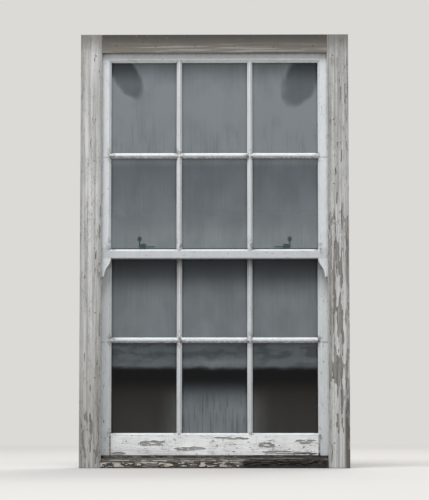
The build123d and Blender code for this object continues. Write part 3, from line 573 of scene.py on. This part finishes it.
# A node wears the material of its own name, or else of the first key that its name contains
FINISHES = {
    "sill": sill_wood,
    "head": deal_level,
    "outer_lining_head": head_paint,
    "parting_bead_head": inside_level,
    "staff_bead_head": inside_level,
    "staff_bead_sill": inside_level,
    "inner_lining_head": inside_level,
    "pocket_pieces": inside_paint,
    "outer_lining": lining_wood,
    "pulley_stile": inside_paint,
    "inner_lining": inside_paint,
    "parting_bead": inside_paint,
    "staff_bead": inside_paint,
    "back_linings": deal_upright,
    "parting_slips": deal_upright,
    "glue_blocks": deal_level,
    "pulley_pins": pin_steel,
    "pulley_cases": pulley_iron,
    "pulley_wheel": wheel_brass,
    "weight": cast_iron,
    "cord": cotton,
    "stile": sash_upright,
    "upright_bars": sash_small,
    "cross_bar": sash_cross,
    "bottom_rail": rail_wood,
    "rail": sash_level,
    "glass": glass,
    "putty": putty,
    "fastener": brass,
    "lifts": brass,
}
for node_name, node in NODES.items():
    finish = FINISHES.get(node_name) or next(f for key, f in FINISHES.items() if key in node_name)
    node.data.materials.clear()
    node.data.materials.append(finish)


# Pieces

def put(name, data):
    """An object in the scene."""
    obj = bpy.data.objects.new(name, data)
    bpy.context.scene.collection.objects.link(obj)
    return obj


def piece(name, points, faces, body, slot, material, sharp=40):
    """A mesh in the frame's own coordinates, which rides on the body if one is given."""
    mesh = bpy.data.meshes.new(name)
    mesh.from_pydata([tuple(p) for p in points], [], faces)
    mesh.update()
    mesh.materials.append(material)
    mesh.polygons.foreach_set("use_smooth", [True] * len(mesh.polygons))
    mesh.set_sharp_from_angle(angle=radians(sharp))
    obj = put(name, mesh)
    if body is not None:
        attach(obj, body)
    return obj


class Heap:
    """Several closed shapes that go into one mesh."""

    def __init__(self):
        self.points, self.faces = [], []

    def add(self, points, faces):
        start = len(self.points)
        self.points += [Vector(p) for p in points]
        self.faces += [[start + i for i in face] for face in faces]

    def rings(self, rings):
        """A closed shape through rings of equally many points."""
        n = len(rings[0])
        points = [p for ring in rings for p in ring]
        faces = [list(range(n))[::-1], [len(points) - n + i for i in range(n)]]
        for r in range(len(rings) - 1):
            a, b = r * n, (r + 1) * n
            faces += [[a + i, a + (i + 1) % n, b + (i + 1) % n, b + i] for i in range(n)]
        self.add(points, faces)


def frame_of(normal):
    """Two directions square to a normal."""
    normal = Vector(normal).normalized()
    side = normal.orthogonal().normalized()
    return side, normal.cross(side)


def turned(heap, centre, axis, profile, sides):
    """A turned shape: profile is (radius, height along axis) from its foot up."""
    centre, axis = Vector(centre), Vector(axis).normalized()
    u, v = frame_of(axis)
    angles = [2 * pi * i / sides for i in range(sides)]
    heap.rings([
        [centre + axis * h + (u * cos(a) + v * sin(a)) * r for a in angles] for r, h in profile
    ])


def screw(heap, centre, axis, radius, turn):
    """A slotted screw head: two halves with a sunk slot between them."""
    centre, axis = Vector(centre), Vector(axis).normalized()
    u, v = frame_of(axis)
    u, v = u * cos(turn) + v * sin(turn), v * cos(turn) - u * sin(turn)
    slot, rise = radius * 0.16, radius * 0.34
    reach = atan2(slot, (radius**2 - slot**2) ** 0.5)
    for side in (-1, 1):
        angles = [reach + (pi - 2 * reach) * i / 9 for i in range(10)]
        flat = [(radius * cos(a), side * radius * sin(a)) for a in angles][::side]
        rings = []
        for k, h in ((1.0, -rise * 0.2), (1.0, rise * 0.35), (0.86, rise)):
            out = [(x * k, side * slot + (y - side * slot) * k) for x, y in flat]
            rings.append([centre + u * x + v * y + axis * h for x, y in out])
        heap.rings(rings)
    turned(heap, centre, axis, [(radius * 0.97, -rise * 0.2), (radius * 0.97, rise * 0.25)], 20)


def coat(
    name, body, place, size, cell, keep, slot, material, curl, thick=0.0007, mirrored=False
):
    """A coat of old paint on a face, where keep(u, v) is above 0, with its lost flakes left out.

    u and v run from 0 to size in steps of about cell. place(u, v, h) is the point at height h over
    the face, in the frame's coordinates, and mirrored says that it swaps left and right. Near a
    lost flake the paint lifts by up to curl. Its foot is sunk a little into the face.
    """
    nu, nv = ceil(size[0] / cell[0]), ceil(size[1] / cell[1])
    us = [size[0] * i / nu for i in range(nu + 1)]
    vs = [size[1] * j / nv for j in range(nv + 1)]
    value = [[keep(u, v) for v in vs] for u in us]
    flat, lift, index, faces = [], [], {}, []

    def corner(i, j):
        if (i, j) not in index:
            index[i, j] = len(flat)
            flat.append((us[i], vs[j]))
            lift.append(curl * exp(-value[i][j] / 0.10))
        return index[i, j]

    def crossing(a, b):
        key = (min(a, b), max(a, b))
        if key not in index:
            (i, j), (k, m) = key
            share = value[i][j] / (value[i][j] - value[k][m])
            share = min(0.93, max(0.07, share))  # no slivers
            index[key] = len(flat)
            flat.append((us[i] + (us[k] - us[i]) * share, vs[j] + (vs[m] - vs[j]) * share))
            lift.append(curl)
        return index[key]

    for i in range(nu):
        for j in range(nv):
            cell_corners = [(i, j), (i + 1, j), (i + 1, j + 1), (i, j + 1)]
            inside = [value[a][b] > 0 for a, b in cell_corners]
            if not any(inside):
                continue
            face = []
            for k, here in enumerate(cell_corners):
                after = cell_corners[(k + 1) % 4]
                if inside[k]:
                    face.append(corner(*here))
                if inside[k] != inside[(k + 1) % 4]:
                    face.append(crossing(here, after))
            faces.append(face)
    edges = dict.fromkeys(edge for face in faces for edge in zip(face, face[1:] + face[:1]))
    n = len(flat)
    top = [place(u, v, thick + h) for (u, v), h in zip(flat, lift)]
    sunk = 0.0002
    low = [place(u, v, max(-sunk, h - sunk)) for (u, v), h in zip(flat, lift)]
    sides = [[b, a, a + n, b + n] for a, b in edges if (b, a) not in edges]
    shut = [[i + n for i in face[::-1]] for face in faces]
    faces = faces + shut + sides
    if mirrored:
        faces = [face[::-1] for face in faces]
    return piece(name, top + low, faces, body, slot, material, sharp=35)


def wander(u, v, su, sv, seed):
    """Smooth noise from about -1 to 1, with features su by sv metres."""
    return noise.noise(Vector((u / su, v / sv, seed * 7.31)))


def jamb_dirt_and_shade(s, paint, cloud):
    """Strips of dirt and of paler paint, darker by the sashes; painted shade towards the top
    and along the outer edges, and a painted shadow at the foot of the right one.
    """
    strips = s.noise((0.010, 0.010, 0.50), detail=3, rough=0.5, seed=131)
    paint = s.mix(s.both(s.step(strips, 0.50, 0.61), 0.58), paint, (0.250, 0.243, 0.225))
    paint = s.mix(s.both(s.step(strips, 0.48, 0.37), 0.45), paint, (0.620, 0.622, 0.620))
    reach = s.math("ABSOLUTE", s.x)
    by_sashes = s.both(s.step(reach, 0.482, 0.461), s.span(cloud, 0.55, 1.25))
    # painted shade along the outer edges
    shade_by_outer_edge = s.both(s.step(reach, 0.522, 0.543), 0.8)
    paint = s.mix(s.both(s.either(by_sashes, shade_by_outer_edge), 0.62), paint, (0.205, 0.200, 0.180))
    # dirt and painted shade at the top
    paint = s.mix(s.both(s.step(s.z, 1.665, 1.755), 0.75), paint, (0.120, 0.112, 0.098))
    left_foot = s.both(s.step(s.z, 0.80, 0.25), s.step(s.x, 0.2, -0.2), s.span(cloud, 0.5, 1.4))
    paint = s.mix(s.both(left_foot, 0.42), paint, (0.215, 0.205, 0.180))
    # painted shade, growing towards the top
    paint = s.shade(paint, s.span(s.step(s.z, 1.10, 1.50), 1.0, 0.92))
    # painted shadow at the foot of the right lining's outer edge
    shadow_right_foot = s.both(
        s.step(s.x, 0.514, 0.532), s.step(s.z, 0.36, 0.24), s.step(cloud, 0.30, 0.48)
    )
    paint = s.mix(s.both(shadow_right_foot, 0.88), paint, (0.055, 0.046, 0.038))
    upper_right = s.both(s.step(s.z, 0.90, 1.20), s.step(s.x, -0.2, 0.2))
    return s.shade(paint, s.span(upper_right, 1.0, 0.90))


def weathered(name, colour, grain="z", stain=(0.30, 0.285, 0.26), jamb=False, sill=False):
    """The paint of the coats: chalky, streaked with dirt, with fine cracks.

    A sill's coat is paler on its nose and dark behind it.
    """
    s = Look(name)
    long_streak = s.noise(grained(grain, 0.006, 0.30), detail=5, rough=0.6, seed=101)
    fine = s.noise(grained(grain, 0.0016, 0.05), detail=3, seed=103)
    cloud = s.noise((0.05, 0.05, 0.12), detail=4, seed=107)
    paint = s.shade(colour, s.span(cloud, 0.82, 1.16))
    paint = s.mix(s.both(s.step(long_streak, 0.47, 0.70), 0.75), paint, stain)
    paint = s.mix(s.both(s.step(fine, 0.50, 0.72), 0.45), paint, stain)
    broad = s.noise(grained(grain, 0.018, 0.20), detail=3, warp=0.3, seed=113)
    paint = s.mix(s.both(s.step(broad, 0.50, 0.68), 0.50), paint, tuple(1.05 * c for c in stain))
    if jamb:
        paint = jamb_dirt_and_shade(s, paint, cloud)
    if sill:
        paint = s.shade(paint, s.span(s.step(s.y, FRONT + 0.004, FRONT + 0.026), 1.25, 0.30))
    cracked = s.noise(grained(grain, 0.007, 0.05), detail=5, warp=0.7, seed=109)
    crack = s.both(s.near(cracked, 0.5, 0.013), s.step(cloud, 0.62, 0.42))
    # cracks, and painted shade in creases where ambient occlusion finds them
    crease = s.both(s.step(s.crease(0.012), 0.12, 0.6), 0.7)
    for dark_mask in (crack, crease):
        paint = s.mix(dark_mask, paint, (0.10, 0.092, 0.082))
    relief = s.math("SUBTRACT", s.both(fine, 0.4), crack)
    return s.done(paint, 0.72, relief, 0.6, 0.0008)


lining_coat = weathered("lining_paint_coat", (0.475, 0.472, 0.467), jamb=True)
rail_coat = weathered(
    "rail_paint_coat", (0.78, 0.782, 0.780), grain="x", stain=(0.60, 0.592, 0.58)
)
sill_coat = weathered(
    "sill_paint_coat", (0.40, 0.370, 0.335), grain="x", stain=(0.17, 0.148, 0.125), sill=True
)


def lining_keep(side):
    """Where the paint of an outer lining has stayed: less along the inner edge and at the right."""

    def keep(u, z):
        inner = exp(-((u / 0.014) ** 2))
        seed = 1 if side < 0 else 2
        patch = wander(u, z, 0.06, 0.34, seed)
        if side < 0:
            wear = -0.60 + 0.42 * inner * (1 - min(1, max(0, (z - 0.95) / 0.35)))
            wear += 0.42 * exp(-(((z - 0.14) / 0.28) ** 2)) + 0.22 * patch
        else:
            band = exp(-(((z - 0.62) / 0.52) ** 4))
            wear = -0.52 + 0.50 * band + 0.14 * inner + 0.34 * patch
            wear -= 0.20 * exp(-(((u - 0.008) / 0.008) ** 2)) * (z > 0.7)
        flakes = wander(u, z, 0.0085, 0.085, seed + 3)
        flakes += 0.55 * wander(u, z, 0.0045, 0.028, seed + 5)
        flakes += 0.25 * wander(u, z, 0.0025, 0.009, seed + 7)
        return flakes - wear

    return keep


SIDES = ((-1, "left"), (1, "right"))
COAT_EDGE = LINING_EDGE + 0.002  # the lining's arris has no coat
for side, word in SIDES:
    coat(
        f"lining_coat_{word}",
        "frame",
        lambda u, v, h, side=side: (side * (COAT_EDGE + u), FRONT - h, v),
        (HALF_FRAME - LINING_EDGE - 0.002, FRAME_TOP),
        (0.0029, 0.0040),
        lining_keep(side),
        "lining_paint",
        lining_coat,
        curl=0.0006,
        mirrored=side < 0,
    )

# Lost patches of the bottom rail: middle x, middle height, half length, half height
LOST = (
    (-0.252, 0.099, 0.050, 0.0105),
    (-0.098, 0.077, 0.058, 0.0075),
    (0.076, 0.120, 0.066, 0.0055),
    (0.212, 0.092, 0.033, 0.0105),
    (0.366, 0.106, 0.036, 0.0100),
    (0.300, 0.061, 0.120, 0.0060),
    (-0.390, 0.058, 0.030, 0.0050),
)


def rail_keep(u, v):
    """Where the bottom rail's paint has stayed: round the lost patches, and islands in them."""
    x, z = u - SIGHT_X, RAIL_LOW + v
    rough = 0.46 * wander(x, z, 0.020, 0.006, 31) + 0.22 * wander(x, z, 0.006, 0.003, 33)
    value = 1.0
    for cx, cz, half_x, half_z in LOST:
        lean = 0.03 * (x - cx) * (1 if cx < 0 else -1)
        reach = hypot((x - cx) / half_x, (z - cz - lean) / half_z)
        island = 0.55 - reach + 0.6 * wander(x, z, 0.014, 0.005, 35) - 0.25
        value = min(value, max(reach - 1, island) + rough)
    speckle = 0.62 + wander(x, z, 0.016, 0.005, 37) + 0.4 * wander(x, z, 0.006, 0.003, 39)
    return min(value, speckle)


coat(
    "bottom_rail_coat",
    "lower_sash",
    lambda u, v, h: (u - SIGHT_X, LOWER_FACE - h, RAIL_LOW + v),
    (2 * SIGHT_X, RAIL_HIGH - RAIL_LOW),
    (0.0030, 0.0013),
    rail_keep,
    "sash_paint",
    rail_coat,
    curl=0.0007,
)


HALF_SILL = LINING_EDGE - 0.001  # half the length of the sill's coats


def hollow_depth(x):
    """How far behind the sill's front the rot reaches at x."""
    share = (x - ROT_LEFT) / ROT_LENGTH
    shares = (-0.001, 0.0, 0.05, 0.18, 0.33, 0.52, 0.70, 0.87, 0.97, 1.0, 1.001)
    depths = (0, 0, 0.015, 0.030, 0.025, 0.041, 0.033, 0.045, 0.022, 0, 0)
    return float(np.interp(share, shares, depths))


def sill_keep(start):
    """Where the sill's paint has stayed, from start behind its front on: not over the rot."""

    def keep(u, v):
        x = u - HALF_SILL
        over_hollow = hollow_depth(x) > start + v - 0.004
        on_soft_nose = start == 0 and 0.10 < x < 0.462
        rot = 0.9 if over_hollow or on_soft_nose else 0.0
        wear = 0.02 + rot + 0.25 * wander(x, v, 0.12, 0.05, 51)
        flakes = wander(x, v, 0.030, 0.008, 53) + 0.5 * wander(x, v, 0.010, 0.004, 55)
        return flakes - wear

    return keep


TOP_START = 0.006  # behind the rounded nose
coat(
    "sill_front_coat",
    "frame",
    lambda u, v, h: (u - HALF_SILL, FRONT - h, 0.001 + v),
    (2 * HALF_SILL, SILL_NOSE - 0.006),
    (0.0036, 0.0018),
    sill_keep(0),
    "sill_timber",
    sill_coat,
    thick=0.0009,
    curl=0.0010,
)
coat(
    "sill_top_coat",
    "frame",
    lambda u, v, h: (
        u - HALF_SILL, FRONT + TOP_START + v, SILL_NOSE + (TOP_START + v) * SILL_SLOPE + h
    ),
    (2 * HALF_SILL, 0.064),
    (0.0040, 0.0024),
    sill_keep(TOP_START),
    "sill_timber",
    sill_coat,
    thick=0.0009,
    curl=0.0010,
)

# Splinters left in the rotten stretch of the sill
dice = random.Random(7)
splinters = Heap()
for _ in range(110):
    x = dice.uniform(0.118, 0.448)
    depth = hollow_depth(x)
    length = dice.uniform(0.012, 0.055)
    y = FRONT + depth + dice.uniform(-0.007, 0.001)
    z = dice.uniform(0.009, SILL_NOSE + depth * SILL_SLOPE - 0.001)
    lean = Vector((1, dice.uniform(-0.16, 0.16), dice.uniform(-0.10, 0.14))).normalized()
    thick = dice.uniform(0.0007, 0.0021)
    u, v = frame_of(lean)
    section = [u * cos(a) + v * sin(a) * 0.5 for a in (0.3, 1.9, 3.5, 5.1)]
    rings = []
    for share, width in ((0, 0.3), (0.25, 1.0), (0.6, 0.8), (1, 0.12)):
        middle = Vector((x, y, z)) + lean * (share - 0.5) * length
        rings.append([middle + way * thick * width for way in section])
    splinters.rings(rings)
splinter_wood = bare_timber("rotten_splinters", "x", (0.016, 0.013, 0.011), (0.110, 0.090, 0.070))
piece("sill_splinters", splinters.points, splinters.faces, "frame", "sill_timber", splinter_wood)

# Nail heads: large ones in the outer linings, pins inside
rusty = metal(
    "rusty_nails", (0.060, 0.032, 0.020), (0.16, 0.085, 0.045), rough=(0.6, 0.9), metallic=0.5
)
NAIL = [(0.0024, -0.0005), (0.0024, 0.0008), (0.0012, 0.0013)]
PIN = [(0.0013, -0.0004), (0.0013, 0.0003), (0.0007, 0.0006)]
OUTWARD, INWARD, UPWARD = (0, -1, 0), (0, 1, 0), (0, 0, 1)
nails = Heap()
for side in (-1, 1):
    for row in range(7):
        x = side * (0.483 + 0.002 * sin(5 * row))
        turned(nails, (x, FRONT, 0.10 + 0.262 * row), OUTWARD, NAIL, 10)
        turned(nails, (side * 0.4655, BACK, 0.13 + 0.24 * row), INWARD, PIN, 8)
for column in range(6):
    x = -0.40 + 0.16 * column
    turned(nails, (x, FRONT, 1.712 + 0.002 * cos(4 * column)), OUTWARD, NAIL, 10)
    for z in (0.0725, 1.6925):
        turned(nails, (x, BACK, z), INWARD, PIN, 8)
piece("nail_heads", nails.points, nails.faces, "frame", "pin_steel", rusty)

# Screws. The turns of their slots differ, as nobody lined them up
base_screws, keeper_screws, lift_screws, pulley_screws = Heap(), Heap(), Heap(), Heap()
for side in (-1, 1):
    for dx in (-0.0185, 0.0185):
        for dy in (-0.0068, 0.0068):
            at = (side * FASTENER_X + dx, BASE_Y + dy, BASE_TOP)
            screw(base_screws, at, UPWARD, 0.0027, 0.7 + 40 * dx + 90 * dy + side)
    for dx in (-0.0155, 0.0155):
        at = (side * FASTENER_X + dx, KEEPER_Y, KEEPER_TOP)
        screw(keeper_screws, at, UPWARD, 0.0024, 1.1 + 30 * dx * side)
    for dx, z in ((-0.007, 0.125), (0.007, 0.125), (0.0, 0.113)):
        at = (side * LIFT_X + dx, LIFT_FACE, z)
        screw(lift_screws, at, INWARD, 0.0028, 0.5 + 60 * dx + side)
    for y in TRACKS.values():
        for dz in (-0.046, 0.046):
            at = (side * STILE_FACE, y, AXLE_Z + dz)
            screw(pulley_screws, at, (-side, 0, 0), 0.0034, 9 * dz + 20 * y + side)
for name, heap, body, slot, look in (
    ("fastener_base_screws", base_screws, "lower_sash", "dull_brass", brass),
    ("keeper_screws", keeper_screws, "upper_sash", "dull_brass", brass),
    ("lift_screws", lift_screws, "lower_sash", "dull_brass", brass),
    ("pulley_screws", pulley_screws, "frame", "pulley_iron", pulley_iron),
):
    piece(name, heap.points, heap.faces, body, slot, look)

# Sash cords: each one runs from its knot in the sash over the wheel to its knot in the weight
CORD = 0.003  # radius


def tube(heap, path):
    """A closed tube along a path that lies in a plane of constant y."""
    across = Vector((0, 1, 0))
    angles = [2 * pi * k / 20 for k in range(20)]
    rings = []
    for i, point in enumerate(path):
        ahead, behind = path[min(i + 1, len(path) - 1)], path[max(i - 1, 0)]
        way = (Vector(ahead) - Vector(behind)).normalized()
        up = way.cross(across)
        rings.append([Vector(point) + (across * cos(a) + up * sin(a)) * CORD for a in angles])
    heap.rings(rings)


def knot(heap, centre):
    """A stopper knot: a ball of three turns."""
    rings = []
    for i in range(13):
        tip = pi * (i + 0.5) / 13
        ring = []
        for k in range(28):
            a = 2 * pi * k / 28
            bulge = 1 + 0.15 * sin(3 * a + 2.2 * tip) * sin(tip)
            r = 0.0060 * sin(tip) * bulge
            ring.append(Vector(centre) + Vector((r * cos(a), r * sin(a), -0.0062 * cos(tip))))
        rings.append(ring)
    heap.rings(rings)


KNOTS = {"upper": (1.497, 0.707), "lower": (0.692, 1.397)}  # heights in the sash and the weight
STRAIGHT = AXLE_Z - 0.01  # a cord hangs straight from here down
OVERLAP = 0.003  # a cord ends this far over its knot's middle
for sash, y in TRACKS.items():
    in_sash, in_weight = KNOTS[sash]
    for side, word in SIDES:
        inner, outer = side * (AXLE_X - WHEEL), side * (AXLE_X + WHEEL)
        over = [
            (side * (AXLE_X + WHEEL * cos(a)), y, AXLE_Z + WHEEL * sin(a))
            for a in [pi * k / 24 for k in range(25)]
        ]
        near, far = Heap(), Heap()
        tube(near, over + [(inner, y, STRAIGHT), (inner, y, in_sash + OVERLAP)])
        knot(near, (inner, y, in_sash))
        tube(far, [(outer, y, AXLE_Z), (outer, y, STRAIGHT), (outer, y, in_weight + OVERLAP)])
        knot(far, (outer, y, in_weight))
        runs = (
            ("sash", near, f"{sash}_sash", inner, in_sash),
            ("weight", far, f"{sash}_weight_{word}", outer, in_weight),
        )
        for run, heap, body, x, low in runs:
            name = f"{sash}_cord_{word}_{run}_side"
            cord = piece(name, heap.points, heap.faces, None, "sash_cord", cotton, sharp=60)
            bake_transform(cord)
            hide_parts(f"{sash}_cord_{word}")

# Stage: a round floor that fades into the backdrop far away
BACKDROP = (0.71, 0.70, 0.68)
floor_look = Look("pale_floor")
distance = floor_look.add(
    "ShaderNodeVectorMath", {0: floor_look.where}, operation="LENGTH"
).outputs["Value"]
plain = floor_look.add("ShaderNodeBsdfDiffuse", {"Color": (0.50, 0.485, 0.465, 1)})
far_away = floor_look.add("ShaderNodeEmission", {"Color": (*BACKDROP, 1), "Strength": 1.0})
fading = {0: floor_look.step(distance, 2.5, 9.0), 1: plain.outputs[0], 2: far_away.outputs[0]}
joined = floor_look.add("ShaderNodeMixShader", fading)
floor_look.add("ShaderNodeOutputMaterial", {"Surface": joined.outputs[0]})
REACH = 60.0  # the floor's radius
GROUND = -0.0005  # just under the sill, so that the two don't share a plane
ring = [(REACH * cos(2 * pi * i / 48), REACH * sin(2 * pi * i / 48), GROUND) for i in range(48)]
floor_mesh = bpy.data.meshes.new("floor")
floor_mesh.from_pydata(ring, [], [list(range(48))])
floor_mesh.materials.append(floor_look.material)
floor = put("floor", floor_mesh)
floor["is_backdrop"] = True

# Camera: low in front of the window and looking up a little, as in the photograph
EYE = Vector((0.060, -7.110, 0.175))
AIM = Vector((0.0, -0.050, 0.880))
SHIFT = 0.100  # in sensor widths: the camera tilts less, so uprights stay nearly parallel
camera_data = bpy.data.cameras.new("camera")
camera_data.lens = 126.0
camera_data.sensor_width = 36.0
camera_data.shift_y = SHIFT
camera = put("camera", camera_data)
way = AIM - EYE
shifted = atan(SHIFT * camera_data.sensor_width / camera_data.lens)
pitch = atan2(way.z, hypot(way.x, way.y)) - shifted
camera.location = EYE
camera.rotation_euler = (pi / 2 + pitch, 0, -atan2(way.x, way.y))
bpy.context.scene.camera = camera


def lamp(name, place, size, energy, colour):
    """A soft lamp that shines on the window's middle."""
    data = bpy.data.lights.new(name, "AREA")
    data.shape = "RECTANGLE"
    data.size, data.size_y = size
    data.energy = energy
    data.color = colour
    obj = put(name, data)
    obj.location = place
    way = Vector((0, 0, 0.9)) - Vector(place)
    obj.rotation_euler = way.to_track_quat("-Z", "Y").to_euler()


lamp("sky", (-1.5, -4.6, 9.0), (6.0, 5.0), 1050.0, (0.97, 0.985, 1.0))
lamp("back_sky", (2.0, 5.5, 7.5), (5.0, 4.0), 520.0, (1.0, 0.985, 0.96))

# World: dim light all round, and the backdrop's colour for camera, gloss and glass
world = bpy.data.worlds.new("studio")
bpy.context.scene.world = world
world.use_nodes = True
surroundings = Tree(world.node_tree)
rays = surroundings.add("ShaderNodeLightPath").outputs
mirrored = surroundings.math("MAXIMUM", rays["Is Glossy Ray"], rays["Is Transmission Ray"])
seen = surroundings.math("MAXIMUM", rays["Is Camera Ray"], mirrored)
light = surroundings.add(
    "ShaderNodeBackground", {"Color": (0.95, 0.975, 1.0, 1), "Strength": 0.50}
)
backdrop = surroundings.add("ShaderNodeBackground", {"Color": (*BACKDROP, 1)})
chosen = surroundings.add(
    "ShaderNodeMixShader", {0: seen, 1: light.outputs[0], 2: backdrop.outputs[0]}
)
surroundings.add("ShaderNodeOutputWorld", {"Surface": chosen.outputs[0]})
bpy.context.scene.view_settings.view_transform = "Standard"

low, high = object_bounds()
{"cad": [list(cad_low), list(cad_high)], "visual": [list(low), list(high)]}
